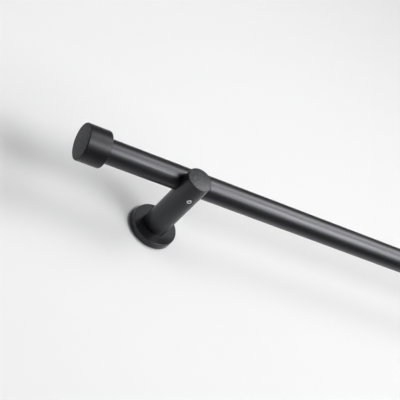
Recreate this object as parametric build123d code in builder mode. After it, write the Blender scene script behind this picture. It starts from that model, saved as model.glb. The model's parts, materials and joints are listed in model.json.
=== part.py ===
"""Wooden curtain rod on two wall brackets, with a push-on finial at each end.

Millimetres, +Z up. X runs along the rod, the wall is the plane Y = 0 and the object stands out of it
towards -Y. The origin is on the wall, midway between the hanger bolts of the two brackets.

Each bracket is a round rosette and a turned post, clamped to the wall by a hanger bolt that screws into
an insert in the post's rear end. The rod lies in a half-round saddle in the upper side of each post and is
held there by a wood screw from below.
"""
import os

from build123d import *

# Rod
rod_diameter = 28.0
rod_length = 1000.0
rod_overhang = 124.0  # from a bracket's centre line to the rod's end
rod_standoff = 78.5  # from the wall to the rod's axis
rod_end_chamfer = 0.6

# Bracket post
post_diameter = 30.0
post_lip = 9.4  # wood in front of the saddle, at the rim of the tip
post_crown = 0.9  # how far the tip is domed
post_tip_fillet = 0.7
saddle_wood = 15.0  # wood left below the rod
saddle_clearance = 0.15  # all round between the rod and its saddle

# Rosette
rosette_margin = 12.5  # how far the rosette reaches out past the post
rosette_thickness = 9.0
rosette_front_fillet = 1.0
rosette_back_chamfer = 0.4

# Finial
finial_wall = 6.8  # wood around the socket
finial_overlap = 19.0  # length of rod inside the finial
finial_front = 7.9  # wood in front of the socket, at the rim of the face
finial_crown = 1.0  # how far the face is domed
finial_fillet = 1.4
socket_clearance = 0.2  # radial, so that the finial pushes on and pulls off
socket_end_gap = 0.3  # between the rod's end and the socket's floor
socket_chamfer = 0.5

# Hanger bolt and insert
bolt_diameter = 8.0  # machine thread, in the insert
bolt_grip = 18.0  # length of bolt inside the post
shank_diameter = 7.0  # unthreaded middle of the bolt, in the rosette
wood_thread_diameter = 7.5
bolt_wall_length = 50.0  # length of bolt behind the wall face, point included
bolt_point_length = 9.0
bolt_point_diameter = 1.6
bolt_chamfer = 0.8
bolt_hole_clearance = 0.4  # radial, in the rosette, which is pushed on over the machine thread
insert_wall = 2.0
insert_length = 20.0
insert_hole_room = 4.0  # drilled past the insert's inner end
thread_clearance = 0.1  # radial, between a thread and the hole that it is in

# Wood screw that holds the rod in its saddle
screw_diameter = 3.0
screw_bite = 12.0  # length of screw inside the rod
screw_point_length = 3.5
screw_point_diameter = 0.4
screw_hole_clearance = 0.3  # radial, in the post
screw_hole_room = 1.0  # drilled past the screw's point
head_diameter = 6.2
head_height = 2.1
head_fillet = 0.9
head_sink = 0.1  # below the post's underside
head_clearance = 0.5  # radial, in the counterbore
hexagon_width = 2.5  # hexagon socket in the head, across its flats
hexagon_depth = 1.4

# Worked out from the driving dimensions
rod_radius = rod_diameter / 2
post_radius = post_diameter / 2
saddle_radius = rod_radius + saddle_clearance
rod_underside = saddle_wood - post_radius
rod_height = rod_underside + rod_radius
post_tip = rod_standoff + saddle_radius + post_lip
bracket_spacing = rod_length - 2 * rod_overhang
brackets = {"left": -bracket_spacing / 2, "right": bracket_spacing / 2}

rosette_radius = post_radius + rosette_margin
socket_radius = rod_radius + socket_clearance
finial_radius = socket_radius + finial_wall
socket_depth = finial_overlap + socket_end_gap
finial_rim = socket_end_gap + finial_front  # from the rod's end to the rim of the face

bolt_radius = bolt_diameter / 2
shank_radius = shank_diameter / 2
wood_thread_radius = wood_thread_diameter / 2
insert_bore_radius = bolt_radius + thread_clearance
insert_radius = insert_bore_radius + insert_wall
bolt_inner_end = rosette_thickness + bolt_grip

screw_radius = screw_diameter / 2
head_face = -post_radius + head_sink
head_seat = head_face + head_height
screw_tip = rod_underside + screw_bite


def dome_radius(rim_radius, crown):
    """Radius of the sphere that rises by a crown above a round rim."""
    return (rim_radius**2 + crown**2) / (2 * crown)


post_dome_radius = dome_radius(post_radius, post_crown)
finial_dome_radius = dome_radius(finial_radius, finial_crown)
seam_to_wall = (0, 0, 90)  # turns a sphere's seam away from the domed face


def write(part, name):
    """Label a finished piece and write it as a node of its own."""
    part.label = name
    export_step(part, f"parts/{name}.step")


os.makedirs("parts", exist_ok=True)

# Rod: a plain round pole with eased ends and a pilot hole above each bracket
with BuildPart() as rod:
    with BuildSketch(Plane.YZ.offset(-rod_length / 2)):
        with Locations((-rod_standoff, rod_height)):
            Circle(rod_radius)
    extrude(amount=rod_length)
    chamfer(rod.edges().filter_by(GeomType.CIRCLE), rod_end_chamfer)
    with BuildSketch(Plane.XY.offset(rod_underside)):
        with Locations(*[(x, -rod_standoff) for x in brackets.values()]):
            Circle(screw_radius + thread_clearance)
    extrude(amount=screw_bite + screw_hole_room, mode=Mode.SUBTRACT)
write(rod.part, "rod")

# Finials: turned cylinders with a domed face and a blind socket, each facing outwards from its end of the rod
for side, outwards in (("left", -1), ("right", 1)):
    rod_end = Plane(origin=(outwards * rod_length / 2, -rod_standoff, rod_height), z_dir=(outwards, 0, 0))
    dome_centre = rod_end.offset(finial_rim + finial_crown - finial_dome_radius).origin
    inwards = Axis((0, 0, 0), (-outwards, 0, 0))
    with BuildPart() as finial:
        with BuildSketch(rod_end.offset(-finial_overlap)):
            Circle(finial_radius)
        extrude(amount=finial_overlap + finial_rim + 2 * finial_crown)  # past the dome, which cuts the face
        with Locations(dome_centre):
            Sphere(finial_dome_radius, rotation=seam_to_wall, mode=Mode.INTERSECT)
        fillet(finial.edges().filter_by(GeomType.CIRCLE), finial_fillet)
        with BuildSketch(rod_end.offset(-finial_overlap)):
            Circle(socket_radius)
        extrude(amount=socket_depth, mode=Mode.SUBTRACT)
        mouth = finial.faces().sort_by(inwards)[-1]
        chamfer(mouth.inner_wires().edges(), socket_chamfer)
    write(finial.part, f"{side}_finial")

for side, bracket_x in brackets.items():
    # Rosette: a turned disc with a rounded front edge and a hole for the bolt
    with BuildPart() as rosette:
        with BuildSketch(Plane.XZ):
            with Locations((bracket_x, 0)):
                Circle(rosette_radius)
        extrude(amount=rosette_thickness)
        fillet(rosette.faces().sort_by(Axis.Y)[0].edges(), rosette_front_fillet)
        chamfer(rosette.faces().sort_by(Axis.Y)[-1].edges(), rosette_back_chamfer)
        with BuildSketch(Plane.XZ):
            with Locations((bracket_x, 0)):
                Circle(bolt_radius + bolt_hole_clearance)
        extrude(amount=rosette_thickness, mode=Mode.SUBTRACT)
    write(rosette.part, f"{side}_rosette")

    # Post: a dowel with a domed tip, a saddle open at the top and holes for its screw and insert
    with BuildPart() as post:
        with BuildSketch(Plane.XZ.offset(rosette_thickness)):
            with Locations((bracket_x, 0)):
                Circle(post_radius)
        extrude(amount=post_tip + 2 * post_crown - rosette_thickness)  # past the dome, which cuts the tip
        with Locations((bracket_x, -post_tip - post_crown + post_dome_radius, 0)):
            Sphere(post_dome_radius, rotation=seam_to_wall, mode=Mode.INTERSECT)
        fillet(post.edges().filter_by(GeomType.CIRCLE).sort_by(Axis.Y)[0], post_tip_fillet)
        with BuildSketch(Plane.YZ.offset(bracket_x)):
            with Locations((-rod_standoff, rod_height)):
                Circle(saddle_radius)
                Rectangle(2 * saddle_radius, post_diameter, align=(Align.CENTER, Align.MIN))
        extrude(amount=post_diameter, both=True, mode=Mode.SUBTRACT)
        with BuildSketch(Plane.XZ.offset(rosette_thickness)):
            with Locations((bracket_x, 0)):
                Circle(insert_radius + thread_clearance)
        extrude(amount=insert_length + insert_hole_room, mode=Mode.SUBTRACT)
        with BuildSketch(Plane.XY.offset(-post_radius)):
            with Locations((bracket_x, -rod_standoff)):
                Circle(screw_radius + screw_hole_clearance)
        extrude(amount=saddle_wood + rod_radius, mode=Mode.SUBTRACT)
        with BuildSketch(Plane.XY.offset(-post_radius)):
            with Locations((bracket_x, -rod_standoff)):
                Circle(head_diameter / 2 + head_clearance)
        extrude(amount=head_sink + head_height, mode=Mode.SUBTRACT)
    write(post.part, f"{side}_post")

    # Insert: a threaded sleeve, flush with the post's rear end
    with BuildPart() as insert:
        with BuildSketch(Plane.XZ.offset(rosette_thickness)):
            with Locations((bracket_x, 0)):
                Circle(insert_radius)
                Circle(insert_bore_radius, mode=Mode.SUBTRACT)
        extrude(amount=insert_length)
    write(insert.part, f"{side}_insert")

    # Hanger bolt: machine thread in the insert, plain shank in the rosette, wood thread and point in the wall
    with BuildPart() as hanger_bolt:
        with BuildSketch(Plane.XY):
            with BuildLine():
                Polyline(
                    (bracket_x, -bolt_inner_end),
                    (bracket_x + bolt_radius - bolt_chamfer, -bolt_inner_end),
                    (bracket_x + bolt_radius, -bolt_inner_end + bolt_chamfer),
                    (bracket_x + bolt_radius, -rosette_thickness),
                    (bracket_x + shank_radius, -rosette_thickness),
                    (bracket_x + shank_radius, 0),
                    (bracket_x + wood_thread_radius, 0),
                    (bracket_x + wood_thread_radius, bolt_wall_length - bolt_point_length),
                    (bracket_x + bolt_point_diameter / 2, bolt_wall_length),
                    (bracket_x, bolt_wall_length),
                    close=True,
                )
            make_face()
        revolve(axis=Axis((bracket_x, 0, 0), (0, 1, 0)))
    write(hanger_bolt.part, f"{side}_hanger_bolt")

    # Rod screw: pan head with a hexagon socket, seen from below, and a pointed shank up into the rod
    with BuildPart() as rod_screw:
        with BuildSketch(Plane.XY.offset(head_face)):
            with Locations((bracket_x, -rod_standoff)):
                Circle(head_diameter / 2)
        extrude(amount=head_height)
        fillet(rod_screw.faces().sort_by(Axis.Z)[0].edges(), head_fillet)
        with BuildSketch(Plane.XY.offset(head_face)):
            with Locations((bracket_x, -rod_standoff)):
                RegularPolygon(hexagon_width / 2, 6, major_radius=False)
        extrude(amount=hexagon_depth, mode=Mode.SUBTRACT)
        with BuildSketch(Plane.XY.offset(head_seat)):
            with Locations((bracket_x, -rod_standoff)):
                Circle(screw_radius)
        extrude(amount=screw_tip - screw_point_length - head_seat)
        with BuildSketch(Plane.XY.offset(screw_tip - screw_point_length)):
            with Locations((bracket_x, -rod_standoff)):
                Circle(screw_radius)
        with BuildSketch(Plane.XY.offset(screw_tip)):
            with Locations((bracket_x, -rod_standoff)):
                Circle(screw_point_diameter / 2)
        loft()
    write(rod_screw.part, f"{side}_rod_screw")
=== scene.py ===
# %% [markdown]
# # A black wooden curtain rod on two wall brackets
#
# The construction is already done: every solid comes in as a frame, at its real size and in its real
# place. What is left for Blender is how the object looks: its lacquer, its bright screws, the threads on
# its bolts and the light that it hangs in. Nothing below moves or resizes a solid of the frame.

# %% Load the frame
import json
import math

import bmesh
import bpy
from mathutils import Matrix, Vector


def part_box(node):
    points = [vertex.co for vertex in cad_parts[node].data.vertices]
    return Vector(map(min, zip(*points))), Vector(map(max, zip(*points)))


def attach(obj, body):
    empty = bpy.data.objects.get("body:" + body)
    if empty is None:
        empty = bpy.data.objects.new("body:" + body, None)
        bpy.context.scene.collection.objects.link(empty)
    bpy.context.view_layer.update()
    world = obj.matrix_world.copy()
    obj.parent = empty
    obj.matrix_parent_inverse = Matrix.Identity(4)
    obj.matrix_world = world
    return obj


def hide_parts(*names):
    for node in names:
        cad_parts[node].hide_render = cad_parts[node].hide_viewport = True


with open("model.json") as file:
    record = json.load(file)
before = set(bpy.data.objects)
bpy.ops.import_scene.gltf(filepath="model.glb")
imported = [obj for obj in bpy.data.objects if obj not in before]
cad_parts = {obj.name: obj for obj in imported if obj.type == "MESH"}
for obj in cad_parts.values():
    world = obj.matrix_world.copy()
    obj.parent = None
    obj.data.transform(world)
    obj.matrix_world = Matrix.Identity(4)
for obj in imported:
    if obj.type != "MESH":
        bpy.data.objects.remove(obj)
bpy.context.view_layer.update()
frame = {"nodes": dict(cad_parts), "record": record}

nodes = frame["nodes"]
sides = ("left", "right")
millimetre = 0.001
quarter_turn = math.radians(90)
print("nodes in the frame:", len(nodes))

# %% [markdown]
# ## The camera
#
# The picture is taken from below and from the left, close to the wall. The camera could be placed by
# eye, but a small error in the angle shows at once in where the ellipses of the posts and finials lie.
# Here its place, its two angles and its slight roll are written as numbers that fit the outlines of the
# rod, post, rosette and finial, and the lens follows from the focal length in pixels of a square
# picture.

# %% Camera
photo_width_px = 400
focal_length_px = 1027.3
camera_place = Vector((-0.87338, -0.80292, -0.68972))
camera_yaw = math.radians(35.238)  # from straight at the wall towards the right
camera_pitch = math.radians(37.615)  # above level
camera_roll = math.radians(-3.146)

camera_data = bpy.data.cameras.new("camera")
camera_data.sensor_width = 36
camera_data.lens = camera_data.sensor_width * focal_length_px / photo_width_px
camera = bpy.data.objects.new("camera", camera_data)
camera.matrix_world = (
    Matrix.Translation(camera_place)
    @ Matrix.Rotation(-camera_yaw, 4, "Z")
    @ Matrix.Rotation(quarter_turn + camera_pitch, 4, "X")
    @ Matrix.Rotation(camera_roll, 4, "Z")
)
bpy.context.scene.collection.objects.link(camera)
bpy.context.scene.camera = camera
print("lens:", round(camera_data.lens, 2), "mm")

# %% [markdown]
# ## Shader maths that reads as Python
#
# A material is a graph of nodes, and its arithmetic is hard to read as a list of links. One small class
# wraps an output socket, so that `0.4 - 0.1 * grain` adds the Math nodes by itself. Its `node` method
# adds any other node: settings first, because they decide which sockets exist, then what goes into those
# sockets.


# %% Sockets as values
class Value:
    """An output socket of a material's node tree."""

    def __init__(self, tree, socket=None):
        self.tree = tree
        self.socket = socket

    def node(self, kind, settings=None, inputs=None, output=0):
        """Add a node with its settings, fill or link its inputs, and give back one of its outputs, if any."""
        made = self.tree.nodes.new(kind)
        for name, setting in (settings or {}).items():
            setattr(made, name, setting)
        for name, value in (inputs or {}).items():
            if isinstance(value, Value):
                self.tree.links.new(value.socket, made.inputs[name])
            else:
                made.inputs[name].default_value = value
        return Value(self.tree, made.outputs[output]) if made.outputs else None

    def math(self, operation, *operands):
        return self.node("ShaderNodeMath", {"operation": operation}, dict(enumerate(operands)))

    def __add__(self, other):
        return self.math("ADD", self, other)

    def __radd__(self, other):
        return self.math("ADD", other, self)

    def __sub__(self, other):
        return self.math("SUBTRACT", self, other)

    def __rsub__(self, other):
        return self.math("SUBTRACT", other, self)

    def __mul__(self, other):
        return self.math("MULTIPLY", self, other)

    def __rmul__(self, other):
        return self.math("MULTIPLY", other, self)


def new_material(name):
    """An empty material, and the value from which its nodes are made."""
    material = bpy.data.materials.new(name)
    material.use_nodes = True
    material.node_tree.nodes.clear()
    return material, Value(material.node_tree)


def grey(level):
    return (level, level, level)


def blend_colours(factor, first, second):
    """Mix two colours by a value from 0 to 1. The colour sockets of a Mix node are its seventh and eighth."""
    first, second = [colour if isinstance(colour, Value) else (*colour, 1) for colour in (first, second)]
    settings = {"data_type": "RGBA", "clamp_factor": True}
    return factor.node("ShaderNodeMix", settings, {0: factor, 6: first, 7: second}, output=2)


def step_between(value, low, high, ramp="LINEAR"):
    """0 below low, 1 above high, and a ramp between them."""
    limits = {"Value": value, "From Min": low, "From Max": high}
    return value.node("ShaderNodeMapRange", {"clamp": True, "interpolation_type": ramp}, limits)


print("operators on sockets: + - *")

# %% [markdown]
# ## Paint for the wall
#
# The rod is seen against a pale wall, and the wall does half of the lighting: the black lacquer mirrors
# it at every grazing edge, and the soft shadows on it tell how far the rod stands out.
#
# How deep a shadow looks depends on how much other light falls on the wall. Another lamp would give that
# light, but it would fall on the object too. Here a part of the wall's brightness is a glow that only
# the camera sees: hardly any in an oval at the rod's left end, where the shadows are deep, and more
# elsewhere. Close to a rosette a nearly black shadow is painted into the wall's colour for the camera,
# but only on the side away from the light: Ambient Occlusion finds that crescent when its normal is
# tilted towards the light, and the glow goes out there too. From the brackets down, the wall is darker
# for every ray but the camera's, because the lower half of a room is what a rod's underside mirrors. A
# camera behind the wall sees through it, so that the object can be looked at from there too.

# %% Wall paint
bracket_x = {side: sum(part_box(f"{side}_rosette"), Vector()).x / 2 for side in sides}
oval_x = bracket_x["left"] - 0.13
oval_z = 0.05
oval_flatness = 2.0  # its width over its height, squared
oval_core = 0.04  # half as wide as the oval that has hardly any glow
oval_reach = 0.26  # half as wide as the oval outside which the glow is full
oval_paint = (0.68, 0.68, 0.685)
oval_glow = grey(0.03)
open_paint = (0.39, 0.39, 0.392)
open_glow = grey(0.43)
painted_contact_shadow = grey(0.04)  # painted shadow right beside a rosette, on its side away from the light
contact_width = 4.5 * millimetre
light_side = {"X": 0.85, "Y": -0.4, "Z": -0.35}  # from a rosette towards the light
mirrored_wall = (0.82, 0.82, 0.825)
mirrored_wall_from = 0.0
mirrored_room = grey(0.14)
mirrored_room_from = -0.2


def one_way_plaster():
    """Matt pale paint with a glow and a painted contact shadow for the camera, which only a camera behind it
    sees through.
    """
    material, start = new_material("plaster")
    behind = start.node("ShaderNodeNewGeometry", output="Backfacing")
    seen = start.node("ShaderNodeLightPath", output="Is Camera Ray")
    place = start.node("ShaderNodeTexCoord", output="Object")
    along_wall = place.node("ShaderNodeSeparateXYZ", inputs={"Vector": place}, output="X")
    height = place.node("ShaderNodeSeparateXYZ", inputs={"Vector": place}, output="Z")
    beside_oval = along_wall - oval_x
    above_oval = height - oval_z
    off_centre = place.math("SQRT", beside_oval * beside_oval + oval_flatness * above_oval * above_oval)
    evenly_lit = step_between(off_centre, oval_core, oval_reach, "SMOOTHSTEP")
    towards_light = start.node("ShaderNodeCombineXYZ", inputs=light_side)
    in_the_open = start.node(
        "ShaderNodeAmbientOcclusion",
        {"samples": 16},
        {"Distance": contact_width, "Normal": towards_light},
        output="AO",
    )
    # Painted shadow: beside a rosette, away from the light, the camera's colour goes dark and the glow goes
    # out.
    in_the_open = in_the_open * in_the_open * in_the_open
    upper_half = step_between(height, mirrored_room_from, mirrored_wall_from)
    mirrored_colour = blend_colours(upper_half, mirrored_room, mirrored_wall)
    camera_colour = blend_colours(evenly_lit, oval_paint, open_paint)
    camera_colour = blend_colours(in_the_open, painted_contact_shadow, camera_colour)
    colour = blend_colours(seen, mirrored_colour, camera_colour)
    paint = start.node("ShaderNodeBsdfDiffuse", inputs={"Color": colour})
    glow_colour = blend_colours(evenly_lit, oval_glow, open_glow)
    glow_colour = blend_colours(seen * in_the_open, grey(0), glow_colour)
    glow = start.node("ShaderNodeEmission", inputs={"Color": glow_colour})
    front = start.node("ShaderNodeAddShader", inputs={0: paint, 1: glow})
    nothing = start.node("ShaderNodeBsdfTransparent")
    surface = start.node("ShaderNodeMixShader", inputs={0: behind * seen, 1: front, 2: nothing})
    start.node("ShaderNodeOutputMaterial", inputs={"Surface": surface})
    return material


plaster = one_way_plaster()
print("wall paint:", plaster.name)

# %% [markdown]
# ## The wall behind the brackets
#
# A plain plane would do for a wall that is only seen from the front. But its paint lets a camera behind
# it look through, and then the rosettes' rear faces show, which a plane would keep in the dark. So the
# wall has a hole behind each rosette, small enough for the rosette to cover it. A Boolean could cut the
# holes; filling the edges of a rectangle and two circles with `triangle_fill` leaves the circles open
# without one.

# %% Wall
rosette_low, rosette_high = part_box("left_rosette")
rosette_radius = (rosette_high.x - rosette_low.x) / 2
hole_radius = 0.94 * rosette_radius
wall_half_width = 1.6
wall_top = 1.4
wall_bottom = -1.4
wall_gap = 0.3 * millimetre  # behind the rosettes, so that the two surfaces never coincide


def new_object(name, bm, material):
    """Write a bmesh into a new object at the origin, with one material."""
    mesh = bpy.data.meshes.new(name)
    bm.to_mesh(mesh)
    bm.free()
    mesh.materials.append(material)
    piece = bpy.data.objects.new(name, mesh)
    bpy.context.scene.collection.objects.link(piece)
    return piece


bm = bmesh.new()
bmesh.ops.create_grid(bm, x_segments=1, y_segments=1, size=1)
for face in list(bm.faces):
    bm.faces.remove(face)
for corner in bm.verts:
    height = wall_top if corner.co.y > 0 else wall_bottom
    corner.co = Vector((corner.co.x * wall_half_width, wall_gap, height))
for x in bracket_x.values():
    facing_wall = Matrix.Translation((x, wall_gap, 0)) @ Matrix.Rotation(quarter_turn, 4, "X")
    bmesh.ops.create_circle(bm, radius=hole_radius, segments=48, matrix=facing_wall)
bmesh.ops.triangle_fill(bm, edges=bm.edges[:], use_beauty=True, normal=(0, -1, 0))
for face in bm.faces:
    if face.normal.y > 0:
        face.normal_flip()
wall = new_object("wall", bm, plaster)
print("wall faces:", len(wall.data.polygons))

# %% [markdown]
# ## The floor
#
# A camera that looks down past the wall's lower edge would see the world there, and a floor of ordinary
# size would show its own edge. This one is a plane so wide that its edge is lost, and to the camera it
# glows as brightly as the world, so that nothing tells where one ends and the other begins. The light
# that it throws back up comes from its grey paint alone.

# %% Floor
floor_level = -2.4
floor_half_width = 60
floor_paint = grey(0.55)
floor_glow = grey(0.72)


def pale_floor():
    """A floor that is pale for the camera and grey for the light that it throws back."""
    material, start = new_material("pale_floor")
    seen = start.node("ShaderNodeLightPath", output="Is Camera Ray")
    paint = start.node("ShaderNodeBsdfDiffuse", inputs={"Color": (*floor_paint, 1)})
    glow = start.node("ShaderNodeEmission", inputs={"Color": blend_colours(seen, grey(0), floor_glow)})
    surface = start.node("ShaderNodeAddShader", inputs={0: paint, 1: glow})
    start.node("ShaderNodeOutputMaterial", inputs={"Surface": surface})
    return material


bm = bmesh.new()
bmesh.ops.create_grid(bm, x_segments=1, y_segments=1, size=floor_half_width)
bmesh.ops.translate(bm, verts=bm.verts, vec=(0, 0, floor_level))
floor = new_object("floor", bm, pale_floor())
print("floor faces:", len(floor.data.polygons))

# %% [markdown]
# ## Soft boxes
#
# The rod throws two soft shadows on the wall, one above its own height and one below, both shifted to
# the left. A shadow's shift, divided by how far the rod stands out, is the slope of the light, so each
# shadow gives the direction of one lamp: one stands a little below the rod and one above it, both to the
# right of the bracket. Area lamps give the broad streak along the rod and shadows with soft edges. A
# faint lamp between the two keeps the streak in one piece. A lamp high on the left puts a sheen on the
# rod for a camera on the right, one behind the wall shows the bolts from there, and the world adds a
# little even light.

# %% Lamps and world
rod_low, rod_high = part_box("rod")
rod_axis = (rod_low + rod_high) / 2
rod_at_left_bracket = Vector((bracket_x["left"], rod_axis.y, rod_axis.z))
beam_angle = math.radians(70)
even_light = 0.1
backdrop = 0.7  # what the world adds to that for the camera


def soft_box(name, direction, distance, width, height, watts):
    """A rectangular lamp that the left bracket sees in a direction, and that shines at it."""
    towards_lamp = Vector(direction).normalized()
    data = bpy.data.lights.new(name, "AREA")
    data.shape = "RECTANGLE"
    data.size = width
    data.size_y = height
    data.energy = watts
    data.spread = beam_angle
    lamp = bpy.data.objects.new(name, data)
    lamp.location = rod_at_left_bracket + distance * towards_lamp
    lamp.rotation_euler = towards_lamp.to_track_quat("Z", "Y").to_euler()
    lamp.visible_camera = False
    bpy.context.scene.collection.objects.link(lamp)
    return lamp


lamps = [
    soft_box("lower_soft_box", (0.73, -1, -0.50), distance=2.4, width=1.2, height=1.35, watts=10.0),
    soft_box("upper_soft_box", (0.75, -1, 0.46), distance=2.4, width=1.2, height=1.0, watts=5.0),
    soft_box("middle_soft_box", (0.73, -1, 0), distance=2.4, width=1.2, height=0.5, watts=1.2),
    soft_box("left_soft_box", (-2, -1, 1.7), distance=3.0, width=2.0, height=1.2, watts=3.4),
    soft_box("rear_soft_box", (0.3, 1, 0.6), distance=2.4, width=1.2, height=1.2, watts=6.0),
]

world = bpy.data.worlds.new("even_light")
world.use_nodes = True
world.node_tree.nodes.clear()
sky = Value(world.node_tree)
seen = sky.node("ShaderNodeLightPath", output="Is Camera Ray")
strength = even_light + backdrop * seen
light = sky.node("ShaderNodeBackground", inputs={"Color": (1, 1, 1, 1), "Strength": strength})
sky.node("ShaderNodeOutputWorld", inputs={"Surface": light})
bpy.context.scene.world = world
bpy.context.scene.view_settings.view_transform = "Standard"
print("lamps:", ", ".join(lamp.name for lamp in lamps))

# %% [markdown]
# ## Black lacquered wood
#
# Rod, posts, rosettes and finials are turned from wood and sprayed with a satin black lacquer, whose
# sheen is a little blue. The lacquer hides the colour of the wood but not its grain: fibres still stand
# a hair proud, so long faint streaks run along the rod and the sawn ends look speckled. A noise in the
# solid that is stretched along the grain gives both from one pattern: seen from the side it is streaks,
# and where the piece is cut across, it is dots.

# %% Lacquer over grain
grain_stretch = 0.03  # how much the noise is squeezed along the fibres before it is looked up
fibre_scale = 700
growth_scale = 330
orange_peel_scale = 420
grain_depth = 0.05 * millimetre
dark_lacquer = (0.006, 0.006, 0.0066)
light_lacquer = (0.009, 0.009, 0.0099)
end_grain_lacquer = (0.04, 0.04, 0.044)
sheen_tint = (0.93, 0.935, 1, 1)


def lacquered_wood(name, grain_axis, grain, gloss, roughness, matt_ends):
    """Satin black lacquer on wood whose fibres run along grain_axis, 0 for X, 1 for Y and 2 for Z.

    How far the grain shows through is set by grain, how strongly the lacquer mirrors by gloss, and how much
    rougher it is where the fibres are cut across by matt_ends.
    """
    material, start = new_material(name)
    squeeze = [1.0, 1.0, 1.0]
    squeeze[grain_axis] = grain_stretch
    place = start.node("ShaderNodeTexCoord", output="Object")
    stretched = place.node("ShaderNodeMapping", inputs={"Vector": place, "Scale": squeeze})
    fibres = stretched.node(
        "ShaderNodeTexNoise",
        inputs={"Vector": stretched, "Scale": fibre_scale, "Detail": 4, "Roughness": 0.6},
    )
    growth = stretched.node(
        "ShaderNodeTexNoise", inputs={"Vector": stretched, "Scale": growth_scale, "Detail": 2}
    )
    orange_peel = place.node(
        "ShaderNodeTexNoise", inputs={"Vector": place, "Scale": orange_peel_scale, "Detail": 1}
    )
    pores = step_between(fibres, 0.55, 0.7)
    facing = start.node("ShaderNodeTexCoord", output="Normal")
    along_grain = facing.node("ShaderNodeSeparateXYZ", inputs={"Vector": facing}, output=grain_axis)
    end_grain = step_between(along_grain * along_grain, 0.6, 0.95)
    streaks = step_between(growth, 0.3, 0.7)
    colour = blend_colours(streaks, dark_lacquer, light_lacquer)
    speckle = end_grain * (step_between(growth, 0.45, 0.65) + 0.5 * pores)
    colour = blend_colours(grain * speckle, colour, end_grain_lacquer)
    height = grain * (0.6 * fibres + 0.5 * growth - 0.5 * pores + 0.8 * speckle) + 0.25 * orange_peel
    relief = height.node(
        "ShaderNodeBump", inputs={"Height": height, "Strength": 0.4, "Distance": grain_depth}
    )
    shader = start.node(
        "ShaderNodeBsdfPrincipled",
        inputs={
            "Base Color": colour,
            "Roughness": roughness + grain * (0.1 * streaks + 0.08 * pores) + matt_ends * end_grain,
            "Specular IOR Level": gloss,
            "Specular Tint": sheen_tint,
            "Normal": relief,
        },
    )
    start.node("ShaderNodeOutputMaterial", inputs={"Surface": shader})
    return material


def finish_node(name, material):
    """Give a solid of the frame its finish."""
    for slot in nodes[name].material_slots:
        slot.material = material


rod_lacquer = lacquered_wood(
    "rod_lacquer", grain_axis=0, grain=1.0, gloss=0.68, roughness=0.33, matt_ends=0.2
)
finial_lacquer = lacquered_wood(
    "finial_lacquer", grain_axis=0, grain=1.0, gloss=0.45, roughness=0.33, matt_ends=0.22
)
post_lacquer = lacquered_wood(
    "post_lacquer", grain_axis=1, grain=1.0, gloss=0.68, roughness=0.33, matt_ends=0.04
)
rosette_lacquer = lacquered_wood(
    "rosette_lacquer", grain_axis=0, grain=0.25, gloss=0.46, roughness=0.30, matt_ends=0.0
)
finish_node("rod", rod_lacquer)
for side in sides:
    finish_node(f"{side}_finial", finial_lacquer)
    finish_node(f"{side}_post", post_lacquer)
    finish_node(f"{side}_rosette", rosette_lacquer)
print("lacquered pieces:", 1 + 3 * len(sides))

# %% [markdown]
# ## A lathe and a thread cutter
#
# Bolts, screws and inserts are turned from bar and then threaded, and the same two steps make them here.
# The lathe is `spin`: a few points beside an axis, joined by edges, go once round it. A thread could be
# a spiral of points worked out one by one, but `spin` also takes a step along the axis, so that one
# pitch of the thread's profile goes round and forward at once, and every turn joins on to the one
# before. The ends of such a helix are ragged, so they are sawn off square with `bisect_plane` and
# closed.

# %% Lathe and thread cutter
weld = 0.001 * millimetre  # vertices nearer to each other than this become one
crease_degrees = 40  # faces that meet at more than this keep a sharp edge between them


def draw_beside(bm, centre, axis, outline):
    """Vertices and edges along an outline, whose points are (radius, place along the axis)."""
    outwards = axis.orthogonal().normalized()
    points = [bm.verts.new(centre + radius * outwards + along * axis) for radius, along in outline]
    return points + [bm.edges.new(pair) for pair in zip(points, points[1:])]


def close_up(bm):
    """Merge what coincides, then turn every face outwards."""
    bmesh.ops.remove_doubles(bm, verts=bm.verts, dist=weld)
    bmesh.ops.recalc_face_normals(bm, faces=bm.faces)


def turned(centre, axis, outline, segments=48):
    """A solid of revolution. Its outline starts and ends on the axis."""
    bm = bmesh.new()
    bmesh.ops.spin(
        bm,
        geom=draw_beside(bm, centre, axis, outline),
        cent=centre,
        axis=axis,
        angle=math.tau,
        steps=segments,
        use_merge=True,
    )
    close_up(bm)
    return bm


def threaded(centre, axis, profile, pitch, start, end, segments=48):
    """A threaded bar from start to end along the axis, made from one pitch of its profile."""
    bm = bmesh.new()
    turns = math.ceil((end - start) / pitch) + 2
    bmesh.ops.spin(
        bm,
        geom=draw_beside(bm, centre + (start - pitch) * axis, axis, profile),
        cent=centre,
        axis=axis,
        dvec=axis * (pitch / segments),
        angle=turns * math.tau,
        steps=turns * segments,
    )
    bmesh.ops.remove_doubles(bm, verts=bm.verts, dist=weld)
    for along, sawn_off in ((start, "clear_inner"), (end, "clear_outer")):
        everything = bm.verts[:] + bm.edges[:] + bm.faces[:]
        cut = bmesh.ops.bisect_plane(
            bm, geom=everything, plane_co=centre + along * axis, plane_no=axis, **{sawn_off: True}
        )
        rim = [part for part in cut["geom_cut"] if isinstance(part, bmesh.types.BMEdge)]
        bmesh.ops.edgeloop_fill(bm, edges=rim)
    close_up(bm)
    return bm


def turn_down(bm, centre, axis, new_radius):
    """Move every vertex to the radius that a rule gives for its own radius and place along the axis."""
    for vert in bm.verts:
        along = (vert.co - centre).dot(axis)
        spoke = vert.co - centre - along * axis
        if spoke.length > 0:
            vert.co = centre + along * axis + spoke * (new_radius(spoke.length, along) / spoke.length)


def gather(*parts):
    """Put several closed shapes into one bmesh."""
    whole = bmesh.new()
    for part in parts:
        mesh = bpy.data.meshes.new("part")
        part.to_mesh(mesh)
        part.free()
        whole.from_mesh(mesh)
        bpy.data.meshes.remove(mesh)
    return whole


def shade_smooth(piece):
    """Round shading, with a crease wherever two faces meet at a sharp angle."""
    piece.data.shade_smooth()
    piece.data.set_sharp_from_angle(angle=math.radians(crease_degrees))


print("weld distance:", weld)

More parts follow.
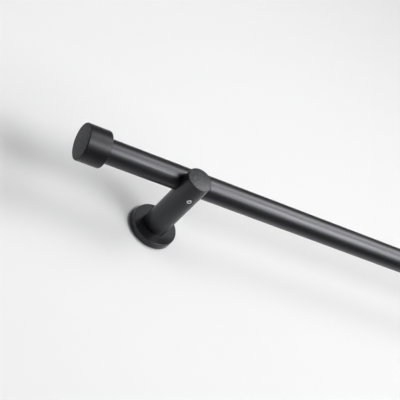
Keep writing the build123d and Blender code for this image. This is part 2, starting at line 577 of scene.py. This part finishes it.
# %% [markdown]
# ## Zinc on steel, and brass
#
# The bolts and screws are steel with a thin bright layer of zinc, which is never quite even: it is
# cloudy over a few millimetres and finely crystalline close up. One noise for each of those drives the
# roughness, because on bare metal that is what the eye reads. The inserts are turned brass, so their
# noise is squeezed into fine rings around the axis that they were turned on.

# %% Metals
cloud_scale = 320
crystal_scale = 2600
tool_mark_scale = 5000
tool_mark_squeeze = 0.02  # of the noise, across the axis that a piece was turned on
tarnish_scale = 260
metal_relief = 0.02 * millimetre
# Painted shade: the dark colour that the inside of a screw's socket is given.
painted_socket_shade = grey(0.03)
clean_brass = (0.76, 0.57, 0.28)
tarnished_brass = (0.62, 0.43, 0.19)


def plated_steel(name, dull_colour, bright_colour, roughness, painted_shade_at=None):
    """Zinc plating, cloudy between two colours. A rule says where shade is painted dark into it, if anywhere.
    """
    material, start = new_material(name)
    place = start.node("ShaderNodeTexCoord", output="Object")
    clouds = place.node("ShaderNodeTexNoise", inputs={"Vector": place, "Scale": cloud_scale, "Detail": 2})
    crystals = place.node("ShaderNodeTexNoise", inputs={"Vector": place, "Scale": crystal_scale, "Detail": 3})
    colour = blend_colours(step_between(clouds, 0.35, 0.65), dull_colour, bright_colour)
    if painted_shade_at:
        # Painted shade: where the rule says, the colour goes dark.
        colour = blend_colours(painted_shade_at(place), colour, painted_socket_shade)
    relief = crystals.node(
        "ShaderNodeBump", inputs={"Height": crystals, "Strength": 0.2, "Distance": metal_relief}
    )
    shader = start.node(
        "ShaderNodeBsdfPrincipled",
        inputs={
            "Base Color": colour,
            "Metallic": 1.0,
            "Roughness": roughness + 0.14 * clouds + 0.08 * crystals,
            "Normal": relief,
        },
    )
    start.node("ShaderNodeOutputMaterial", inputs={"Surface": shader})
    return material


def turned_brass(name, turning_axis):
    """Brass with the fine rings that a turning tool leaves around turning_axis."""
    material, start = new_material(name)
    squeeze = [tool_mark_squeeze, tool_mark_squeeze, tool_mark_squeeze]
    squeeze[turning_axis] = 1.0
    place = start.node("ShaderNodeTexCoord", output="Object")
    across_rings = place.node("ShaderNodeMapping", inputs={"Vector": place, "Scale": squeeze})
    rings = across_rings.node(
        "ShaderNodeTexNoise", inputs={"Vector": across_rings, "Scale": tool_mark_scale, "Detail": 2}
    )
    tarnish = place.node("ShaderNodeTexNoise", inputs={"Vector": place, "Scale": tarnish_scale, "Detail": 3})
    colour = blend_colours(step_between(tarnish, 0.35, 0.7), clean_brass, tarnished_brass)
    relief = rings.node(
        "ShaderNodeBump", inputs={"Height": rings, "Strength": 0.25, "Distance": metal_relief}
    )
    shader = start.node(
        "ShaderNodeBsdfPrincipled",
        inputs={
            "Base Color": colour,
            "Metallic": 1.0,
            "Roughness": 0.2 + 0.15 * tarnish + 0.1 * rings,
            "Normal": relief,
        },
    )
    start.node("ShaderNodeOutputMaterial", inputs={"Surface": shader})
    return material


bolt_zinc = plated_steel(
    "bolt_zinc", dull_colour=(0.62, 0.63, 0.65), bright_colour=(0.76, 0.77, 0.78), roughness=0.2
)
insert_brass = turned_brass("insert_brass", turning_axis=1)
print("metals:", bolt_zinc.name, insert_brass.name)

# %% [markdown]
# ## Two thread profiles
#
# A machine thread has the same sharp form for ridge and groove, because bolt and nut are cut to mesh. A
# wood thread has thin ridges far apart, so that the wood between them stays strong. Each profile is a
# few points over one pitch, which the thread cutter then winds up. The start of a wood thread rises out
# of its core and its end runs out into a point. Both could be modelled turn by turn, but turning the
# finished helix down does it in one go, as a lathe would.

# %% Thread profiles
into_wall = Vector((0, 1, 0))
bolt_low, bolt_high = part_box("left_hanger_bolt")
machine_crest = (bolt_high.x - bolt_low.x) / 2
machine_depth = 0.68 * millimetre
machine_root = machine_crest - machine_depth
machine_pitch = 1.25 * millimetre
machine_flat = 0.06  # half as wide as a root or crest, as a share of the pitch
wood_valley = 0.28  # half as wide as the valley, as a share of the pitch
wood_ridge = 0.03  # half as wide as the ridge's top, as a share of the pitch


def machine_profile(clearance=0.0):
    """One pitch of a machine thread, between the middles of two grooves."""
    root = machine_root + clearance
    crest = machine_crest + clearance
    return [
        (root, -machine_flat * machine_pitch),
        (root, machine_flat * machine_pitch),
        (crest, (0.5 - machine_flat) * machine_pitch),
        (crest, (0.5 + machine_flat) * machine_pitch),
        (root, (1 - machine_flat) * machine_pitch),
    ]


def wood_profile(core, crest, pitch):
    """One pitch of a wood thread: a broad valley and a thin ridge."""
    return [
        (core, -wood_valley * pitch),
        (core, wood_valley * pitch),
        (crest, (0.5 - wood_ridge) * pitch),
        (crest, (0.5 + wood_ridge) * pitch),
        (core, (1 - wood_valley) * pitch),
    ]


def pointed_wood_thread(core, pitch, start, tip, point_length, point_share):
    """A rule that lets a thread rise over its first pitch and tapers its last stretch to a point."""

    def rule(radius, along):
        rise = min(1, (along - start) / pitch)
        taper = min(1, point_share + (1 - point_share) * (tip - along) / point_length)
        return taper * (core + rise * (radius - core))

    return rule


print("points in a profile:", len(machine_profile()))

# %% [markdown]
# ## Hanger bolts
#
# A hanger bolt has no head. Its front end has a machine thread for the insert in the post, a plain shank
# passes through the rosette, and the long rear end has a coarse wood thread that runs out into a point.
# The three stretches could be welded into one skin, but their threads have different numbers of turns
# and points. So each is a closed shape, and they sink into each other a little where they meet.

# %% Hanger bolts
machine_chamfer = 0.8 * millimetre
shank_radius = 3.5 * millimetre
wall_studs = next(mount for mount in frame["record"]["mounts"] if mount["name"] == "wall_studs")
wood_crest = wall_studs["dims"]["stud_r_mm"] * millimetre
wood_depth = 1.0 * millimetre
wood_core = wood_crest - wood_depth
wood_pitch = 3.6 * millimetre
bolt_point = 9 * millimetre
bolt_point_share = 0.21  # of the full thickness, at the very end
sink = 0.6 * millimetre
post_end = -(rosette_high.y - rosette_low.y)


def chamfered(radius, along):
    """A rule that eases the front end of the machine thread."""
    return min(radius, machine_crest - machine_chamfer + along - bolt_low.y)


for side in sides:
    centre = Vector((bracket_x[side], 0, 0))
    machine = threaded(centre, into_wall, machine_profile(), machine_pitch, bolt_low.y, post_end)
    turn_down(machine, centre, into_wall, chamfered)
    neck = [
        (0, post_end - sink),
        (shank_radius, post_end - sink),
        (shank_radius, 0),
        (wood_core, sink),
        (0, sink),
    ]
    shank = turned(centre, into_wall, neck)
    profile = wood_profile(wood_core, wood_crest, wood_pitch)
    wood = threaded(centre, into_wall, profile, wood_pitch, 0, bolt_high.y)
    rule = pointed_wood_thread(wood_core, wood_pitch, 0, bolt_high.y, bolt_point, bolt_point_share)
    turn_down(wood, centre, into_wall, rule)
    hanger_bolt = new_object(f"{side}_threaded_bolt", gather(machine, shank, wood), bolt_zinc)
    shade_smooth(hanger_bolt)
    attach(hanger_bolt, "rod_and_brackets")
    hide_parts(f"{side}_hanger_bolt")
    print(hanger_bolt.name, "faces:", len(hanger_bolt.data.polygons))

# %% [markdown]
# ## Zinc with dark sockets
#
# Each rod screw has a hexagon socket for its key. The shade in that recess is painted: inside the socket
# the zinc's colour is made dark. The dark faces could have a material of their own, but then each screw
# would have two. Here one material finds the sockets by their place in the solid: near a screw's axis,
# and no deeper than the key goes.

# %% Screw zinc
screw_low, screw_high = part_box("left_rod_screw")
hexagon_width = 2.5 * millimetre  # across the flats
hexagon_depth = 1.4 * millimetre
painted_shade_radius = 0.6 * hexagon_width  # just past the hexagon's corners
painted_shade_edge = 0.1 * millimetre  # over which the painted shade fades out


def inside_sockets(place):
    """Where shade is painted: 1 in the hexagon sockets of both screws, 0 elsewhere."""
    x, y, z = [place.node("ShaderNodeSeparateXYZ", inputs={"Vector": place}, output=axis) for axis in "XYZ"]
    along_rod = place.math("ABSOLUTE", x) - bracket_x["right"]
    across_rod = y - rod_axis.y
    off_centre = place.math("SQRT", along_rod * along_rod + across_rod * across_rod)
    socket_end = screw_low.z + hexagon_depth
    in_head = step_between(z, screw_low.z, screw_low.z + painted_shade_edge)
    past_socket = step_between(z, socket_end + painted_shade_edge, socket_end + 2 * painted_shade_edge)
    around_socket = step_between(off_centre, painted_shade_radius, painted_shade_radius + painted_shade_edge)
    return in_head * (1 - past_socket) * (1 - around_socket)


# Painted shade in the sockets: the zinc is made dark there.
screw_zinc = plated_steel(
    "screw_zinc",
    dull_colour=(0.88, 0.882, 0.885),
    bright_colour=(0.94, 0.942, 0.945),
    roughness=0.3,
    painted_shade_at=inside_sockets,
)
print("metal:", screw_zinc.name)

# %% [markdown]
# ## Rod screws
#
# The bright spot on the underside of each post is the head of the wood screw that holds the rod in its
# saddle. It is a pan head: a short cylinder whose rim is rounded with `bevel`. The socket could be drawn
# into the head's face and pushed in, but cutting a six-sided bar away with a Boolean makes it in the way
# that the punch does, and leaves the round head as it was.

# %% Rod screws
upwards = Vector((0, 0, 1))
head_radius = (screw_high.x - screw_low.x) / 2
head_height = 2.1 * millimetre
head_rounding = 0.9 * millimetre
screw_radius = 1.5 * millimetre
screw_core = 1.0 * millimetre
screw_pitch = 1.35 * millimetre
screw_point = 3.5 * millimetre
screw_point_share = 0.15  # of the full thickness, at the very end
thread_start = -screw_pitch


def pan_head(centre, face):
    """Head and plain shank, up to where the thread starts."""
    seat = face + head_height
    outline = [
        (0, face),
        (head_radius, face),
        (head_radius, seat),
        (screw_radius, seat),
        (screw_radius, thread_start),
        (screw_core, thread_start + sink),
        (0, thread_start + sink),
    ]
    bm = turned(centre, upwards, outline)
    on_face = [vert for vert in bm.verts if abs(vert.co.z - face) < weld]
    round_face = [vert for vert in on_face if (vert.co - centre).xy.length > weld]
    rim = [edge for edge in bm.edges if all(vert in round_face for vert in edge.verts)]
    bmesh.ops.bevel(
        bm, geom=rim, offset=head_rounding, segments=6, profile=0.5, affect="EDGES", material=-1
    )
    return bm


def hexagon_bar(centre, face):
    """A six-sided bar that stands halfway in the head."""
    corner_radius = hexagon_width / 2 / math.cos(math.pi / 6)
    bm = bmesh.new()
    bmesh.ops.create_cone(
        bm, cap_ends=True, segments=6, radius1=corner_radius, radius2=corner_radius, depth=2 * hexagon_depth
    )
    bmesh.ops.rotate(bm, verts=bm.verts, matrix=Matrix.Rotation(math.pi / 6, 3, "Z"))
    bmesh.ops.translate(bm, verts=bm.verts, vec=(centre.x, centre.y, face))
    return new_object("hexagon_bar", bm, screw_zinc)


def carve(piece, *cutters):
    """Cut the cutters' shapes out of a piece, and take the cutters away."""
    for cutter in cutters:
        cut = piece.modifiers.new("carve", "BOOLEAN")
        cut.object = cutter
        cut.operation = "DIFFERENCE"
        cut.solver = "EXACT"
    bpy.context.view_layer.update()
    uncut = piece.data
    carved = piece.evaluated_get(bpy.context.evaluated_depsgraph_get())
    piece.data = bpy.data.meshes.new_from_object(carved)
    piece.modifiers.clear()
    bpy.data.meshes.remove(uncut)
    for cutter in cutters:
        bpy.data.objects.remove(cutter)


for side in sides:
    low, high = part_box(f"{side}_rod_screw")
    centre = Vector(((low.x + high.x) / 2, (low.y + high.y) / 2, 0))
    rod_screw = new_object(f"{side}_threaded_screw", pan_head(centre, low.z), screw_zinc)
    carve(rod_screw, hexagon_bar(centre, low.z))
    profile = wood_profile(screw_core, screw_radius, screw_pitch)
    thread = threaded(centre, upwards, profile, screw_pitch, thread_start, high.z, segments=32)
    rule = pointed_wood_thread(
        screw_core, screw_pitch, thread_start, high.z, screw_point, screw_point_share
    )
    turn_down(thread, centre, upwards, rule)
    thread.from_mesh(rod_screw.data)
    thread.to_mesh(rod_screw.data)
    thread.free()
    shade_smooth(rod_screw)
    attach(rod_screw, "rod_and_brackets")
    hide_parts(f"{side}_rod_screw")
    print(rod_screw.name, "faces:", len(rod_screw.data.polygons))

# %% [markdown]
# ## Inserts
#
# A machine thread doesn't hold in wood, so a brass insert sits in the rear end of each post. It is a
# sleeve with a coarse thread outside, which bites into the wood, the bolt's own thread inside, and a
# slot across its end for the tool that drives it. The inside is the bolt's profile with a little room,
# cut out of the threaded bar, so the two threads follow the same helix and never touch.

# %% Inserts
insert_low, insert_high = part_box("left_insert")
insert_crest = (insert_high.x - insert_low.x) / 2
insert_depth = 0.7 * millimetre
insert_core = insert_crest - insert_depth
insert_pitch = 2.5 * millimetre
thread_room = 0.1 * millimetre
slot_width = 1.2 * millimetre
slot_depth = 1.5 * millimetre
overrun = 2 * millimetre  # how far a cutter reaches past what it cuts
turns_before_bolt = math.ceil((bolt_low.y - insert_low.y + overrun) / machine_pitch)
bore_start = bolt_low.y - machine_pitch * turns_before_bolt
bore_end = insert_high.y + overrun


def driver_slot(centre, face):
    """A bar across the insert's rear end."""
    bm = bmesh.new()
    bmesh.ops.create_cube(bm, size=1)
    bmesh.ops.scale(bm, verts=bm.verts, vec=(2 * insert_crest + overrun, 2 * slot_depth, slot_width))
    bmesh.ops.translate(bm, verts=bm.verts, vec=(centre.x, face, centre.z))
    return new_object("driver_slot", bm, insert_brass)


for side in sides:
    centre = Vector((bracket_x[side], 0, 0))
    profile = wood_profile(insert_core, insert_crest, insert_pitch)
    sleeve = threaded(centre, into_wall, profile, insert_pitch, insert_low.y, insert_high.y)
    bore = threaded(centre, into_wall, machine_profile(thread_room), machine_pitch, bore_start, bore_end)
    insert = new_object(f"{side}_threaded_insert", sleeve, insert_brass)
    carve(insert, new_object("bore", bore, insert_brass), driver_slot(centre, insert_high.y))
    shade_smooth(insert)
    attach(insert, "rod_and_brackets")
    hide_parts(f"{side}_insert")
    print(insert.name, "faces:", len(insert.data.polygons))
